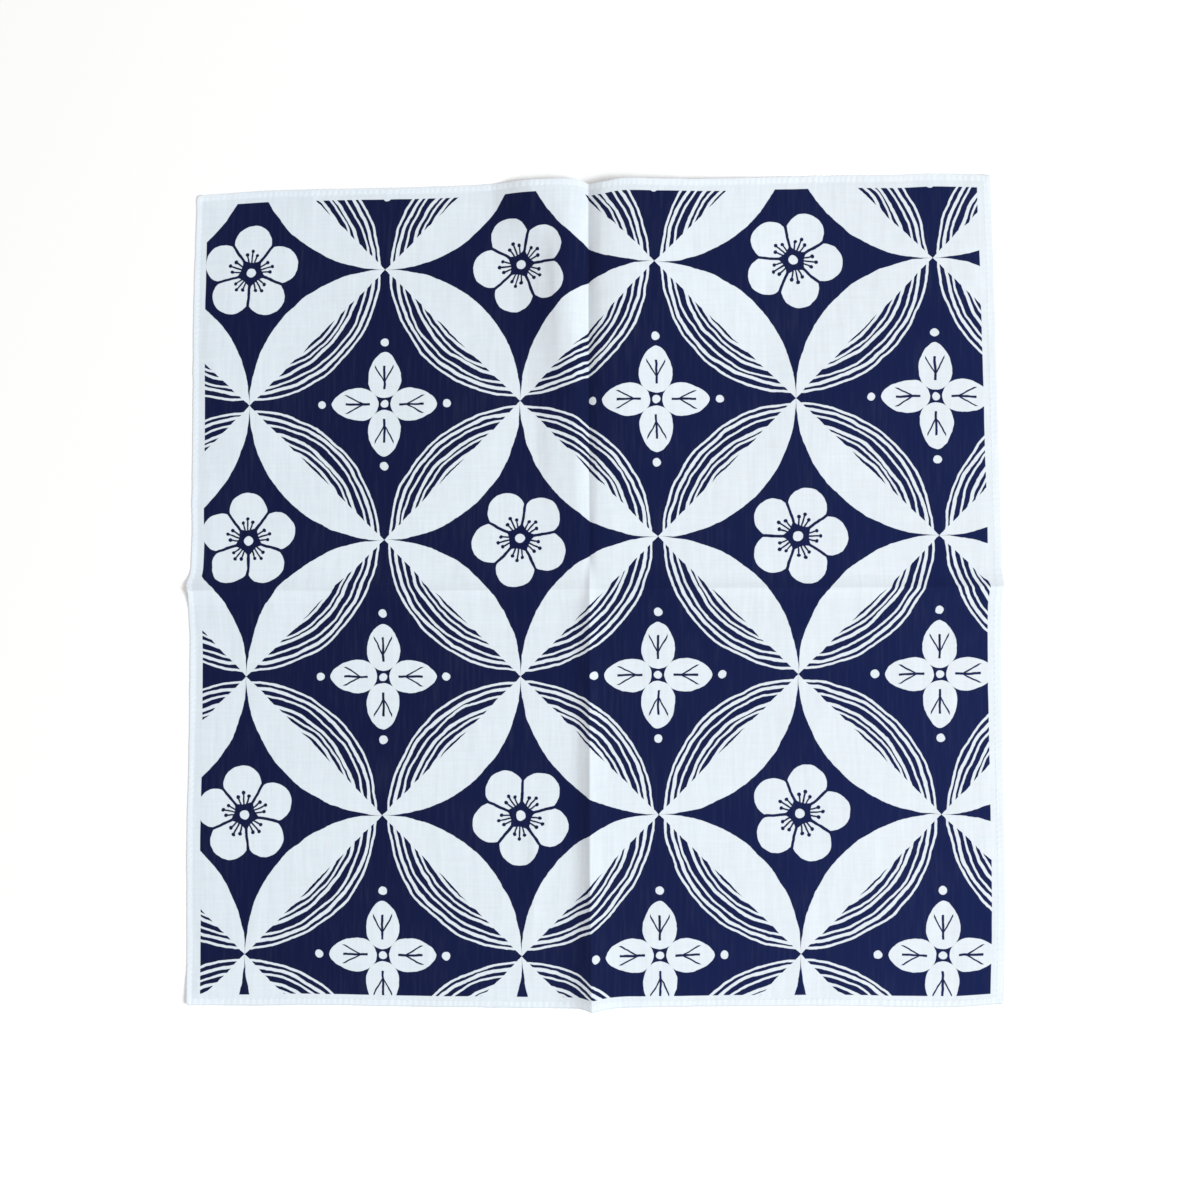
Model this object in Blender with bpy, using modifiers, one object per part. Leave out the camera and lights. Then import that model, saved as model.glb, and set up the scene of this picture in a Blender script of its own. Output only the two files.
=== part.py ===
"""Bandana: one square of fine cotton with a narrow turned hem, opened out of a
quarter fold and laid down. The folds still stand up along the two middle lines.

Metres, +Z up, +Y towards the far edge. The underside lies on z = 0 wherever the
cloth touches the table. The sizes below are in millimetres, as a tape gives them.
"""

import bpy
import bmesh

MM = 0.001

# ---- driving sizes, mm -------------------------------------------------------
HALF_WIDTH = 265.0  # middle crease to side edge
HALF_LENGTH = 270.5  # middle crease to near or far edge
CLOTH_THICK = 1.0
HEM_THICK = 1.6  # the hem is three layers
HEM_WIDE = 4.0
TIP_FADE = 26.0  # how far in from the edge a fold's tip pulls the cloth with it

# Strips of the grid between two lines of the flat cloth, fine beside the creases.
COLUMN_BANDS = (
    # start, end, strips
    (-265.0, -261.0, 1),
    (-261.0, -236.0, 1),
    (-236.0, -72.0, 4),
    (-72.0, -30.0, 7),
    (-30.0, -14.0, 4),
    (-14.0, 0.0, 5),
    (0.0, 15.0, 5),
    (15.0, 30.0, 3),
    (30.0, 156.0, 7),
    (156.0, 236.0, 2),
    (236.0, 261.0, 1),
    (261.0, 265.0, 1),
)
ROW_BANDS = (
    # start, end, strips
    (-270.5, -266.5, 1),
    (-266.5, -240.0, 1),
    (-240.0, -40.0, 7),
    (-40.0, -16.0, 2),
    (-16.0, -2.0, 4),
    (-2.0, 0.0, 1),
    (0.0, 2.0, 1),
    (2.0, 16.0, 4),
    (16.0, 40.0, 2),
    (40.0, 240.0, 7),
    (240.0, 266.5, 1),
    (266.5, 270.5, 1),
)

# Where each edge lies, read along it. The cloth is not quite square.
LEFT_EDGE = (
    # y, x
    (-270.5, -265.9),
    (-215.0, -265.9),
    (-160.0, -266.5),
    (-110.0, -265.6),
    (-45.0, -265.4),
    (-18.0, -265.5),
    (-6.0, -265.2),
    (-1.0, -264.8),
    (5.0, -266.4),
    (11.0, -265.6),
    (20.0, -265.2),
    (34.0, -264.7),
    (60.0, -265.0),
    (110.0, -264.7),
    (190.0, -264.9),
    (270.5, -263.2),
)
RIGHT_EDGE = (
    # y, x
    (-270.5, 263.6),
    (-235.0, 265.4),
    (-190.0, 266.4),
    (-50.0, 266.7),
    (20.0, 268.4),
    (60.0, 268.0),
    (190.0, 267.0),
    (270.5, 265.7),
)
NEAR_EDGE = (
    # x, y
    (-265.0, -269.8),
    (-225.0, -270.2),
    (-185.0, -269.6),
    (-120.0, -270.7),
    (-60.0, -271.3),
    (-8.0, -271.5),
    (9.0, -270.2),
    (30.0, -270.6),
    (90.0, -270.1),
    (160.0, -269.8),
    (230.0, -270.6),
    (265.0, -268.4),
)
FAR_EDGE = (
    # x, y
    (-265.0, 268.8),
    (-215.0, 271.0),
    (-100.0, 271.4),
    (-30.0, 273.2),
    (-5.0, 272.8),
    (0.0, 272.4),
    (6.0, 271.8),
    (11.0, 271.6),
    (16.0, 272.0),
    (25.0, 272.0),
    (75.0, 271.3),
    (130.0, 272.5),
    (165.0, 273.0),
    (200.0, 272.3),
    (230.0, 272.7),
    (265.0, 270.8),
)

# The two middle creases, very nearly straight.
UPRIGHT_CREASE = (
    # y, x
    (-270.5, 0.2),
    (-183.0, -0.45),
    (-90.0, -0.15),
    (0.0, 0.1),
    (140.0, 0.3),
    (240.0, 0.8),
    (270.5, 1.2),
)
LEVEL_CREASE = (
    # x, y
    (-265.0, 1.8),
    (-180.0, 0.9),
    (-120.0, 0.3),
    (0.0, 0.2),
    (100.0, -0.1),
    (245.0, -1.1),
    (265.0, -0.9),
)

# Each crease's end stands out from the edge, or draws it in.
FOLD_TIPS = (
    # side, reach before, reach after, out
    ("left", 32.0, 17.0, 2.1),
    ("right", 12.0, 14.0, 1.4),
    ("near", 9.0, 28.0, 3.0),
    ("far", 9.0, 26.0, -2.9),
)

# Near half: the upright crease is a ridge. Each flank is read outwards from it, row by
# row: the left one is steep, the right one steep only beside the crest.
NEAR_LEFT = (
    # from middle, crest height, at, height, at, height, at, height, foot at
    (0.0, 2.3, 4.0, 0.95, 7.0, 0.5, 11.0, 0.2, 18.0),
    (22.0, 3.5, 5.6, 1.5, 8.8, 0.7, 13.0, 0.3, 21.0),
    (86.0, 4.1, 5.8, 1.6, 8.8, 0.7, 13.0, 0.2, 19.0),
    (183.0, 5.3, 5.6, 2.25, 8.8, 1.1, 13.0, 0.4, 22.0),
    (258.0, 6.1, 5.6, 3.7, 9.8, 2.1, 14.5, 0.95, 27.0),
    (271.0, 6.3, 5.6, 3.85, 9.8, 2.25, 14.5, 1.05, 28.0),
)
NEAR_RIGHT = (
    # from middle, crest height, at, height, at, height, at, height, foot at
    (0.0, 2.3, 4.0, 1.4, 9.0, 0.9, 16.0, 0.6, 60.0),
    (22.0, 3.5, 5.0, 2.4, 9.0, 1.9, 15.0, 1.5, 80.0),
    (86.0, 4.1, 5.0, 2.95, 9.0, 2.35, 15.0, 1.9, 95.0),
    (183.0, 5.3, 5.0, 4.4, 9.0, 3.9, 15.0, 3.55, 130.0),
    (258.0, 6.1, 5.0, 5.1, 10.5, 4.1, 22.0, 3.0, 125.0),
    (271.0, 6.3, 5.0, 5.3, 10.5, 4.3, 22.0, 3.1, 125.0),
)
# Far half: the crease is a furrow that hangs between two raised shoulders.
FAR_LEFT = (
    # from middle, furrow height, crest at, height, at, height, at, height, at, height, foot at
    (0.0, 0.1, 5.0, 0.8, 9.0, 0.65, 13.0, 0.45, 17.0, 0.25, 26.0),
    (30.0, 0.2, 7.5, 1.25, 12.0, 1.0, 17.0, 0.65, 23.0, 0.3, 34.0),
    (107.0, 1.9, 9.5, 3.7, 15.0, 3.2, 21.5, 2.35, 28.5, 1.35, 36.5),
    (212.0, 4.0, 15.5, 7.7, 21.5, 7.1, 29.5, 4.2, 41.0, 1.5, 57.0),
    (224.0, 4.1, 15.5, 7.8, 21.5, 7.1, 30.5, 4.4, 45.0, 1.9, 65.0),
    (236.0, 4.2, 16.0, 7.8, 24.0, 6.6, 37.0, 4.6, 54.0, 1.5, 69.0),
    (248.0, 4.3, 17.0, 7.9, 27.5, 7.1, 39.0, 6.3, 56.0, 2.0, 67.5),
    (260.0, 4.3, 20.0, 7.4, 34.0, 7.0, 43.0, 5.8, 59.0, 1.3, 66.5),
    (273.0, 4.3, 20.5, 7.1, 35.0, 6.8, 43.5, 5.7, 59.5, 1.3, 66.5),
)
FAR_RIGHT = (
    # from middle, furrow height, at, height, at, height, crest at, height, at, height, foot at
    (0.0, 0.1, 2.6, 0.7, 5.0, 0.85, 9.0, 0.9, 20.0, 0.45, 42.0),
    (30.0, 0.2, 3.0, 1.35, 4.6, 1.62, 6.5, 1.66, 24.0, 0.95, 60.0),
    (107.0, 1.9, 4.4, 3.6, 7.4, 4.25, 13.0, 4.4, 46.0, 2.6, 100.0),
    (222.0, 4.1, 4.6, 6.5, 9.0, 7.9, 20.0, 8.7, 72.0, 5.0, 150.0),
    (273.0, 4.5, 5.0, 6.8, 10.0, 8.2, 22.0, 9.0, 76.0, 5.2, 160.0),
)
# The level crease is a low ridge over the whole width, higher at both side edges.
LEVEL_RIDGE = (
    # x, height, reach near, reach far
    (-266.0, 3.6, 14.0, 16.0),
    (-200.0, 1.5, 9.0, 12.0),
    (-40.0, 1.3, 8.0, 9.0),
    (0.0, 0.7, 8.0, 9.0),
    (40.0, 1.4, 8.0, 9.0),
    (200.0, 1.8, 8.0, 10.0),
    (268.0, 3.0, 13.0, 14.0),
)
LEVEL_HOLLOW = 2.0  # how hollow its flanks are; 1 is a plain gable
BLEND = 3.0  # how closely ridge and shoulders, where they meet, follow the higher one
MIDDLE_FADE = 24.0  # the near ridge runs out this far past the middle
SHOULDER_FADE = 16.0  # and the shoulders run out this far into the near half

# Corners that stand off the table a little.
CORNER_LIFTS = (
    # x sign, y sign, height, reach
    (-1, -1, 1.3, 28.0),
    (1, 1, 1.0, 28.0),
)
CORNER_ROUND = 0.6  # a turned corner is drawn in by this much each way

NAVY_AND_WHITE = (0.42, 0.45, 0.58, 1.0)


# ---- small functions ---------------------------------------------------------
def stations(bands):
    """The lines of the grid, from a table of bands."""
    lines = [bands[0][0]]
    for start, end, strips in bands:
        lines += [start + (end - start) * k / strips for k in range(1, strips + 1)]
    return lines


def read(table, at, column):
    """A smooth reading of one column of a table whose first column rises."""
    rows = len(table)
    if at <= table[0][0]:
        return table[0][column]
    if at >= table[-1][0]:
        return table[-1][column]
    k = max(i for i in range(rows - 1) if table[i][0] <= at)

    def slope(i):
        a, b = max(i - 1, 0), min(i + 1, rows - 1)
        return (table[b][column] - table[a][column]) / (table[b][0] - table[a][0])

    step = table[k + 1][0] - table[k][0]
    q = (at - table[k][0]) / step
    return (
        (2 * q**3 - 3 * q**2 + 1) * table[k][column]
        + (q**3 - 2 * q**2 + q) * step * slope(k)
        + (3 * q**2 - 2 * q**3) * table[k + 1][column]
        + (q**3 - q**2) * step * slope(k + 1)
    )


def ease(start, end, at):
    """0 before start, 1 past end, smooth between."""
    q = min(max((at - start) / (end - start), 0.0), 1.0)
    return q * q * (3 - 2 * q)


def crest(across, minus, plus, hollow):
    """A creased ridge: 1 on the crease, 0 from its reach on, either side."""
    q = abs(across) / (minus if across < 0 else plus)
    return (1 - q) ** hollow if q < 1 else 0.0


def section(table, along, away):
    """Height at a distance from the crease: a smooth line through one row of places and
    heights, with no swing between them, that ends level at its foot."""
    row = [read(table, along, column) for column in range(1, len(table[0]))]
    places, heights = [0.0] + row[1::2], [row[0]] + row[2::2] + [0.0]
    if away >= places[-1]:
        return 0.0
    steps = [b - a for a, b in zip(places, places[1:])]
    slants = [(b - a) / step for a, b, step in zip(heights, heights[1:], steps)]
    slopes = []
    for before, after in zip(slants, slants[1:]):
        slopes.append(2 * before * after / (before + after) if before * after > 0 else 0.0)
    slopes = [1.5 * slants[0] - 0.5 * slopes[0]] + slopes + [0.0]
    k = max(i for i in range(len(steps)) if places[i] <= away)
    q = (away - places[k]) / steps[k]
    return (
        (2 * q**3 - 3 * q**2 + 1) * heights[k]
        + (q**3 - 2 * q**2 + q) * steps[k] * slopes[k]
        + (3 * q**2 - 2 * q**3) * heights[k + 1]
        + (q**3 - q**2) * steps[k] * slopes[k + 1]
    )


def crease_x(y):
    return read(UPRIGHT_CREASE, y, 1)


def crease_y(x):
    return read(LEVEL_CREASE, x, 1)


def tip(side, along, from_edge):
    """How far a crease's end moves the edge outwards, at a place along it."""
    for name, before, after, out in FOLD_TIPS:
        if name == side:
            q = -along / before if along < 0 else along / after
            if q < 1 and from_edge < TIP_FADE:
                return out * (1 - q) ** 1.4 * (1 - ease(0.0, TIP_FADE, from_edge))
    return 0.0


def lie(u, v):
    """Where a point of the flat cloth lies on the table; u and v are from the creases."""
    mid_x, mid_y = crease_x(v), crease_y(u)
    if u < 0:
        x = mid_x + u / HALF_WIDTH * (mid_x - read(LEFT_EDGE, v, 1))
    else:
        x = mid_x + u / HALF_WIDTH * (read(RIGHT_EDGE, v, 1) - mid_x)
    if v < 0:
        y = mid_y + v / HALF_LENGTH * (mid_y - read(NEAR_EDGE, u, 1))
    else:
        y = mid_y + v / HALF_LENGTH * (read(FAR_EDGE, u, 1) - mid_y)
    x -= tip("left", v, HALF_WIDTH + u)
    x += tip("right", v, HALF_WIDTH - u)
    y -= tip("near", u, HALF_LENGTH + v)
    y += tip("far", u, HALF_LENGTH - v)
    if abs(u) == HALF_WIDTH and abs(v) == HALF_LENGTH:
        x -= CORNER_ROUND * (1 if u > 0 else -1)
        y -= CORNER_ROUND * (1 if v > 0 else -1)
    return x, y


def height(u, v):
    """How high the underside stands off the table, exactly 0 where it touches."""
    left = u < 0
    ridge = section(NEAR_LEFT if left else NEAR_RIGHT, -v, abs(u))
    ridge *= 1 - ease(0.0, MIDDLE_FADE, v)
    sides = section(FAR_LEFT if left else FAR_RIGHT, v, abs(u))
    sides *= 1 - ease(0.0, SHOULDER_FADE, -v)
    upright = (max(ridge, 0.0) ** BLEND + max(sides, 0.0) ** BLEND) ** (1 / BLEND)
    table = LEVEL_RIDGE
    level = crest(v, read(table, u, 2), read(table, u, 3), LEVEL_HOLLOW)
    level *= read(table, u, 1)
    corners = 0.0
    for sign_x, sign_y, lift, reach in CORNER_LIFTS:
        away = ((HALF_WIDTH - sign_x * u) ** 2 + (HALF_LENGTH - sign_y * v) ** 2) ** 0.5
        corners = max(corners, lift * (1 - ease(0.0, reach, away)))
    return upright + level + corners


# ---- the cloth ---------------------------------------------------------------
def make_cloth(collection):
    columns, rows = stations(COLUMN_BANDS), stations(ROW_BANDS)
    bm = bmesh.new()
    across, along = len(columns) - 1, len(rows) - 1
    bmesh.ops.create_grid(bm, x_segments=across, y_segments=along, size=0.5)
    hem = []
    for vert in bm.verts:
        u = columns[round((vert.co.x + 0.5) * across)]
        v = rows[round((vert.co.y + 0.5) * along)]
        x, y = lie(u, v)
        vert.co = (x * MM, y * MM, height(u, v) * MM)
        from_edge = min(HALF_WIDTH - abs(u), HALF_LENGTH - abs(v))
        hem.append(1.0 if from_edge < HEM_WIDE - 0.5 else 0.0)

    # The origin is the middle of the outline.
    xs, ys = [vert.co.x for vert in bm.verts], [vert.co.y for vert in bm.verts]
    middle = (-(min(xs) + max(xs)) / 2, -(min(ys) + max(ys)) / 2, 0.0)
    bmesh.ops.translate(bm, verts=bm.verts, vec=middle)
    bmesh.ops.triangulate(bm, faces=bm.faces)

    mesh = bpy.data.meshes.new("bandana_cloth")
    bm.to_mesh(mesh)
    bm.free()
    cloth = bpy.data.objects.new("bandana_cloth", mesh)
    collection.objects.link(cloth)

    group = cloth.vertex_groups.new(name="hem")
    for index, weight in enumerate(hem):
        group.add([index], weight, "REPLACE")
    solid = cloth.modifiers.new("thickness", "SOLIDIFY")
    solid.thickness = HEM_THICK * MM
    solid.offset = 1.0
    solid.use_even_offset = False
    solid.use_quality_normals = False
    solid.vertex_group = "hem"
    solid.thickness_vertex_group = CLOTH_THICK / HEM_THICK
    return cloth


def make_material():
    mat = bpy.data.materials.new("printed_cotton")
    mat.use_nodes = True
    shader = mat.node_tree.nodes["Principled BSDF"]
    shader.inputs["Base Color"].default_value = NAVY_AND_WHITE
    shader.inputs["Roughness"].default_value = 0.9
    shader.inputs["Metallic"].default_value = 0.0
    return mat


def main():
    for ob in list(bpy.data.objects):
        bpy.data.objects.remove(ob, do_unlink=True)
    collection = bpy.data.collections.new("bandana")
    bpy.context.scene.collection.children.link(collection)
    cloth = make_cloth(collection)
    cloth.data.materials.append(make_material())


main()
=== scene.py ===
"""Looks of the bandana: a fine cotton square, printed navy on white inside a white
margin, with a narrow turned and stitched hem. It has been opened out of a quarter
fold and laid on a pale table, and its folds still stand.

Lengths in the tables are millimetres. u runs across the flat cloth and v along it,
both from the crossing of the two creases.
"""

import math

import bpy
import numpy as np
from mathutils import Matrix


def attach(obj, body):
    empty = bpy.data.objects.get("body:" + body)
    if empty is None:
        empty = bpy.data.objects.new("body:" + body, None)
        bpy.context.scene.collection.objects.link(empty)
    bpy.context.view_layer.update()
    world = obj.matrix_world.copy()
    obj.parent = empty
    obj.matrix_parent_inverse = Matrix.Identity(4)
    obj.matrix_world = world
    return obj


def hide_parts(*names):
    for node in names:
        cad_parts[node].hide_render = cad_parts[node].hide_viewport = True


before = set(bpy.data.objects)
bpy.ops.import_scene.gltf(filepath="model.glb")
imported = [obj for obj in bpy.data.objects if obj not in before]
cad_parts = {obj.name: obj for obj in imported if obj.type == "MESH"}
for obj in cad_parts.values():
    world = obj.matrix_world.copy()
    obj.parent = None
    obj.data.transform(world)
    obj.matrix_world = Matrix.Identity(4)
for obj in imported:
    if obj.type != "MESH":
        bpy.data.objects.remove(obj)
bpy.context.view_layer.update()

MM = 0.001
NODE = "bandana_cloth"

# ---- the cloth as it lies: the same sizes as the solid -----------------------
HALF_WIDTH = 265.0
HALF_LENGTH = 270.5
TIP_FADE = 26.0
LEFT_EDGE = (
    # y, x
    (-270.5, -265.9),
    (-215.0, -265.9),
    (-160.0, -266.5),
    (-110.0, -265.6),
    (-45.0, -265.4),
    (-18.0, -265.5),
    (-6.0, -265.2),
    (-1.0, -264.8),
    (5.0, -266.4),
    (11.0, -265.6),
    (20.0, -265.2),
    (34.0, -264.7),
    (60.0, -265.0),
    (110.0, -264.7),
    (190.0, -264.9),
    (270.5, -263.2),
)
RIGHT_EDGE = (
    # y, x
    (-270.5, 263.6),
    (-235.0, 265.4),
    (-190.0, 266.4),
    (-50.0, 266.7),
    (20.0, 268.4),
    (60.0, 268.0),
    (190.0, 267.0),
    (270.5, 265.7),
)
NEAR_EDGE = (
    # x, y
    (-265.0, -269.8),
    (-225.0, -270.2),
    (-185.0, -269.6),
    (-120.0, -270.7),
    (-60.0, -271.3),
    (-8.0, -271.5),
    (9.0, -270.2),
    (30.0, -270.6),
    (90.0, -270.1),
    (160.0, -269.8),
    (230.0, -270.6),
    (265.0, -268.4),
)
FAR_EDGE = (
    # x, y
    (-265.0, 268.8),
    (-215.0, 271.0),
    (-100.0, 271.4),
    (-30.0, 273.2),
    (-5.0, 272.8),
    (0.0, 272.4),
    (6.0, 271.8),
    (11.0, 271.6),
    (16.0, 272.0),
    (25.0, 272.0),
    (75.0, 271.3),
    (130.0, 272.5),
    (165.0, 273.0),
    (200.0, 272.3),
    (230.0, 272.7),
    (265.0, 270.8),
)
UPRIGHT_CREASE = (
    # y, x
    (-270.5, 0.2),
    (-183.0, -0.45),
    (-90.0, -0.15),
    (0.0, 0.1),
    (140.0, 0.3),
    (240.0, 0.8),
    (270.5, 1.2),
)
LEVEL_CREASE = (
    # x, y
    (-265.0, 1.8),
    (-180.0, 0.9),
    (-120.0, 0.3),
    (0.0, 0.2),
    (100.0, -0.1),
    (245.0, -1.1),
    (265.0, -0.9),
)
FOLD_TIPS = (
    # side, reach before, reach after, out
    ("left", 32.0, 17.0, 2.1),
    ("right", 12.0, 14.0, 1.4),
    ("near", 9.0, 28.0, 3.0),
    ("far", 9.0, 26.0, -2.9),
)
# Near half: the upright crease is a ridge. Each flank is read outwards from it.
NEAR_LEFT = (
    # from middle, crest height, at, height, at, height, at, height, foot at
    (0.0, 2.3, 4.0, 0.95, 7.0, 0.5, 11.0, 0.2, 18.0),
    (22.0, 3.5, 5.6, 1.5, 8.8, 0.7, 13.0, 0.3, 21.0),
    (86.0, 4.1, 5.8, 1.6, 8.8, 0.7, 13.0, 0.2, 19.0),
    (183.0, 5.3, 5.6, 2.25, 8.8, 1.1, 13.0, 0.4, 22.0),
    (258.0, 6.1, 5.6, 3.7, 9.8, 2.1, 14.5, 0.95, 27.0),
    (271.0, 6.3, 5.6, 3.85, 9.8, 2.25, 14.5, 1.05, 28.0),
)
NEAR_RIGHT = (
    # from middle, crest height, at, height, at, height, at, height, foot at
    (0.0, 2.3, 4.0, 1.4, 9.0, 0.9, 16.0, 0.6, 60.0),
    (22.0, 3.5, 5.0, 2.4, 9.0, 1.9, 15.0, 1.5, 80.0),
    (86.0, 4.1, 5.0, 2.95, 9.0, 2.35, 15.0, 1.9, 95.0),
    (183.0, 5.3, 5.0, 4.4, 9.0, 3.9, 15.0, 3.55, 130.0),
    (258.0, 6.1, 5.0, 5.1, 10.5, 4.1, 22.0, 3.0, 125.0),
    (271.0, 6.3, 5.0, 5.3, 10.5, 4.3, 22.0, 3.1, 125.0),
)
# Far half: the crease is a furrow that hangs between two raised shoulders.
FAR_LEFT = (
    # from middle, furrow height, crest at, height, at, height, at, height, at, height, foot at
    (0.0, 0.1, 5.0, 0.8, 9.0, 0.65, 13.0, 0.45, 17.0, 0.25, 26.0),
    (30.0, 0.2, 7.5, 1.25, 12.0, 1.0, 17.0, 0.65, 23.0, 0.3, 34.0),
    (107.0, 1.9, 9.5, 3.7, 15.0, 3.2, 21.5, 2.35, 28.5, 1.35, 36.5),
    (212.0, 4.0, 15.5, 7.7, 21.5, 7.1, 29.5, 4.2, 41.0, 1.5, 57.0),
    (224.0, 4.1, 15.5, 7.8, 21.5, 7.1, 30.5, 4.4, 45.0, 1.9, 65.0),
    (236.0, 4.2, 16.0, 7.8, 24.0, 6.6, 37.0, 4.6, 54.0, 1.5, 69.0),
    (248.0, 4.3, 17.0, 7.9, 27.5, 7.1, 39.0, 6.3, 56.0, 2.0, 67.5),
    (260.0, 4.3, 20.0, 7.4, 34.0, 7.0, 43.0, 5.8, 59.0, 1.3, 66.5),
    (273.0, 4.3, 20.5, 7.1, 35.0, 6.8, 43.5, 5.7, 59.5, 1.3, 66.5),
)
FAR_RIGHT = (
    # from middle, furrow height, at, height, at, height, crest at, height, at, height, foot at
    (0.0, 0.1, 2.6, 0.7, 5.0, 0.85, 9.0, 0.9, 20.0, 0.45, 42.0),
    (30.0, 0.2, 3.0, 1.35, 4.6, 1.62, 6.5, 1.66, 24.0, 0.95, 60.0),
    (107.0, 1.9, 4.4, 3.6, 7.4, 4.25, 13.0, 4.4, 46.0, 2.6, 100.0),
    (222.0, 4.1, 4.6, 6.5, 9.0, 7.9, 20.0, 8.7, 72.0, 5.0, 150.0),
    (273.0, 4.5, 5.0, 6.8, 10.0, 8.2, 22.0, 9.0, 76.0, 5.2, 160.0),
)
# The level crease is a low ridge over the whole width, higher at both side edges.
LEVEL_RIDGE = (
    # x, height, reach near, reach far
    (-266.0, 3.6, 14.0, 16.0),
    (-200.0, 1.5, 9.0, 12.0),
    (-40.0, 1.3, 8.0, 9.0),
    (0.0, 0.7, 8.0, 9.0),
    (40.0, 1.4, 8.0, 9.0),
    (200.0, 1.8, 8.0, 10.0),
    (268.0, 3.0, 13.0, 14.0),
)
LEVEL_HOLLOW = 2.0
BLEND = 3.0
MIDDLE_FADE = 24.0
SHOULDER_FADE = 16.0
CORNER_LIFTS = (
    # x sign, y sign, height, reach
    (-1, -1, 1.3, 28.0),
    (1, 1, 1.0, 28.0),
)
CORNER_ROUND = 0.6

# ---- what only the fine cloth has --------------------------------------------
SHEET_THICK = 0.32
HEM_THICK = 1.0
STITCH_PITCH = 3.8
STITCH_LONG = 2.7
THREAD_THICK = 0.24

# Faint lines left by handling: low soft ridges, or furrows where the height is negative.
SOFT_LINES = (
    # start u, start v, end u, end v, height, reach before, reach after
    (119.0, 250.0, 118.0, 40.0, -0.42, 17.0, 9.0),
    (118.0, -4.0, 117.0, -80.0, -0.30, 16.0, 9.0),
    (236.0, 196.0, 237.0, 160.0, 0.62, 3.4, 6.0),
    (236.0, -186.0, 235.0, -236.0, 0.62, 3.0, 5.0),
    (241.0, 232.0, 258.0, 190.0, 0.6, 6.0, 2.6),
    (236.0, 214.0, 246.0, 188.0, 0.4, 4.0, 3.0),
    (-36.8, -140.0, -37.6, -230.0, 0.9, 5.0, 13.0),
    (-218.0, -50.0, -225.0, -120.0, 0.45, 16.0, 12.0),
    (139.0, -190.0, 138.0, -255.0, 0.3, 9.0, 9.0),
    (132.0, -165.0, 131.0, -190.0, 0.4, 8.0, 5.0),
    (41.0, -20.0, 40.0, -110.0, 0.25, 9.0, 8.0),
    (22.0, -25.0, 22.0, -112.0, 0.2, 6.0, 6.0),
    (-33.0, 272.0, -24.0, 190.0, -0.75, 6.0, 5.0),
    (-150.0, 262.0, -146.0, 180.0, 0.22, 12.0, 16.0),
    (64.0, -268.0, 60.0, -190.0, 0.25, 14.0, 18.0),
)

# ---- the print ---------------------------------------------------------------
FIELD = {
    # side: (at its middle, lean per mm along it)
    "left": (-256.8, -0.0030),
    "right": (256.2, -0.0008),
    "near": (-263.4, 0.0),
    "far": (262.4, -0.0019),
}
LATTICE = 128.0  # from the middle of one ring to the next
LATTICE_AT = (-46.0, 34.0)  # a ring's middle
LEAF_LINES = (
    # from the leaf's edge, width
    (3.9, 1.5),
    (7.7, 2.1),
    (11.6, 1.4),
    (16.8, 2.0),
    (20.2, 1.4),
    (24.0, 1.9),
)
PETAL_RING, PETAL_ROUND = 19.6, 12.6  # plum blossom: petal middles from its centre, petal radius
# The navy is painted lighter towards the right-hand near corner: painted light, where the lamp falls more strongly.
INK_SHADED_LEFT = (0.0019, 0.0060, 0.0470, 1.0)
INK_LIT_RIGHT = (0.0040, 0.0112, 0.0725, 1.0)
WHITE = (0.776, 0.838, 0.903, 1.0)


# ---- shape functions ---------------------------------------------------------
def read(table, at, column):
    """A smooth reading of one column of a table whose first column rises."""
    knots = np.array([row[0] for row in table])
    values = np.array([row[column] for row in table])
    slopes = np.empty_like(values)
    slopes[1:-1] = (values[2:] - values[:-2]) / (knots[2:] - knots[:-2])
    slopes[0] = (values[1] - values[0]) / (knots[1] - knots[0])
    slopes[-1] = (values[-1] - values[-2]) / (knots[-1] - knots[-2])
    at = np.clip(np.asarray(at, float), knots[0], knots[-1])
    k = np.clip(np.searchsorted(knots, at, side="right") - 1, 0, len(knots) - 2)
    step = knots[k + 1] - knots[k]
    q = (at - knots[k]) / step
    return (
        (2 * q**3 - 3 * q**2 + 1) * values[k]
        + (q**3 - 2 * q**2 + q) * step * slopes[k]
        + (3 * q**2 - 2 * q**3) * values[k + 1]
        + (q**3 - q**2) * step * slopes[k + 1]
    )


def ease(start, end, at):
    q = np.clip((at - start) / (end - start), 0.0, 1.0)
    return q * q * (3 - 2 * q)


def crest(across, minus, plus):
    reach = np.where(across < 0, minus[0], plus[0])
    hollow = np.where(across < 0, minus[1], plus[1])
    return np.clip(1 - np.abs(across) / reach, 0.0, 1.0) ** hollow


def section(table, along, away):
    """Height at a distance from the crease: a smooth line through one row of places and heights,
    with no swing between them, that ends level at its foot."""
    row = [read(table, along, column) for column in range(1, len(table[0]))]
    places = [0.0 * row[0]] + row[1::2]
    heights = [row[0]] + row[2::2] + [0.0 * row[0]]
    steps = [b - a for a, b in zip(places, places[1:])]
    slants = [(b - a) / step for a, b, step in zip(heights, heights[1:], steps)]
    slopes = []
    for before, after in zip(slants, slants[1:]):
        both = before * after
        slopes.append(np.where(both > 0, 2 * both / np.where(both > 0, before + after, 1.0), 0.0))
    slopes = [1.5 * slants[0] - 0.5 * slopes[0]] + slopes + [0.0 * row[0]]
    total = 0.0 * row[0] * away
    for k, step in enumerate(steps):
        q = np.clip((away - places[k]) / step, 0.0, 1.0)
        here = (
            (2 * q**3 - 3 * q**2 + 1) * heights[k]
            + (q**3 - 2 * q**2 + q) * step * slopes[k]
            + (3 * q**2 - 2 * q**3) * heights[k + 1]
            + (q**3 - q**2) * step * slopes[k + 1]
        )
        inside = (away >= places[k]) & (away < places[k + 1])
        total = np.where(inside, here, total)
    return total


def crease_x(y):
    return read(UPRIGHT_CREASE, y, 1)


def crease_y(x):
    return read(LEVEL_CREASE, x, 1)


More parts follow.
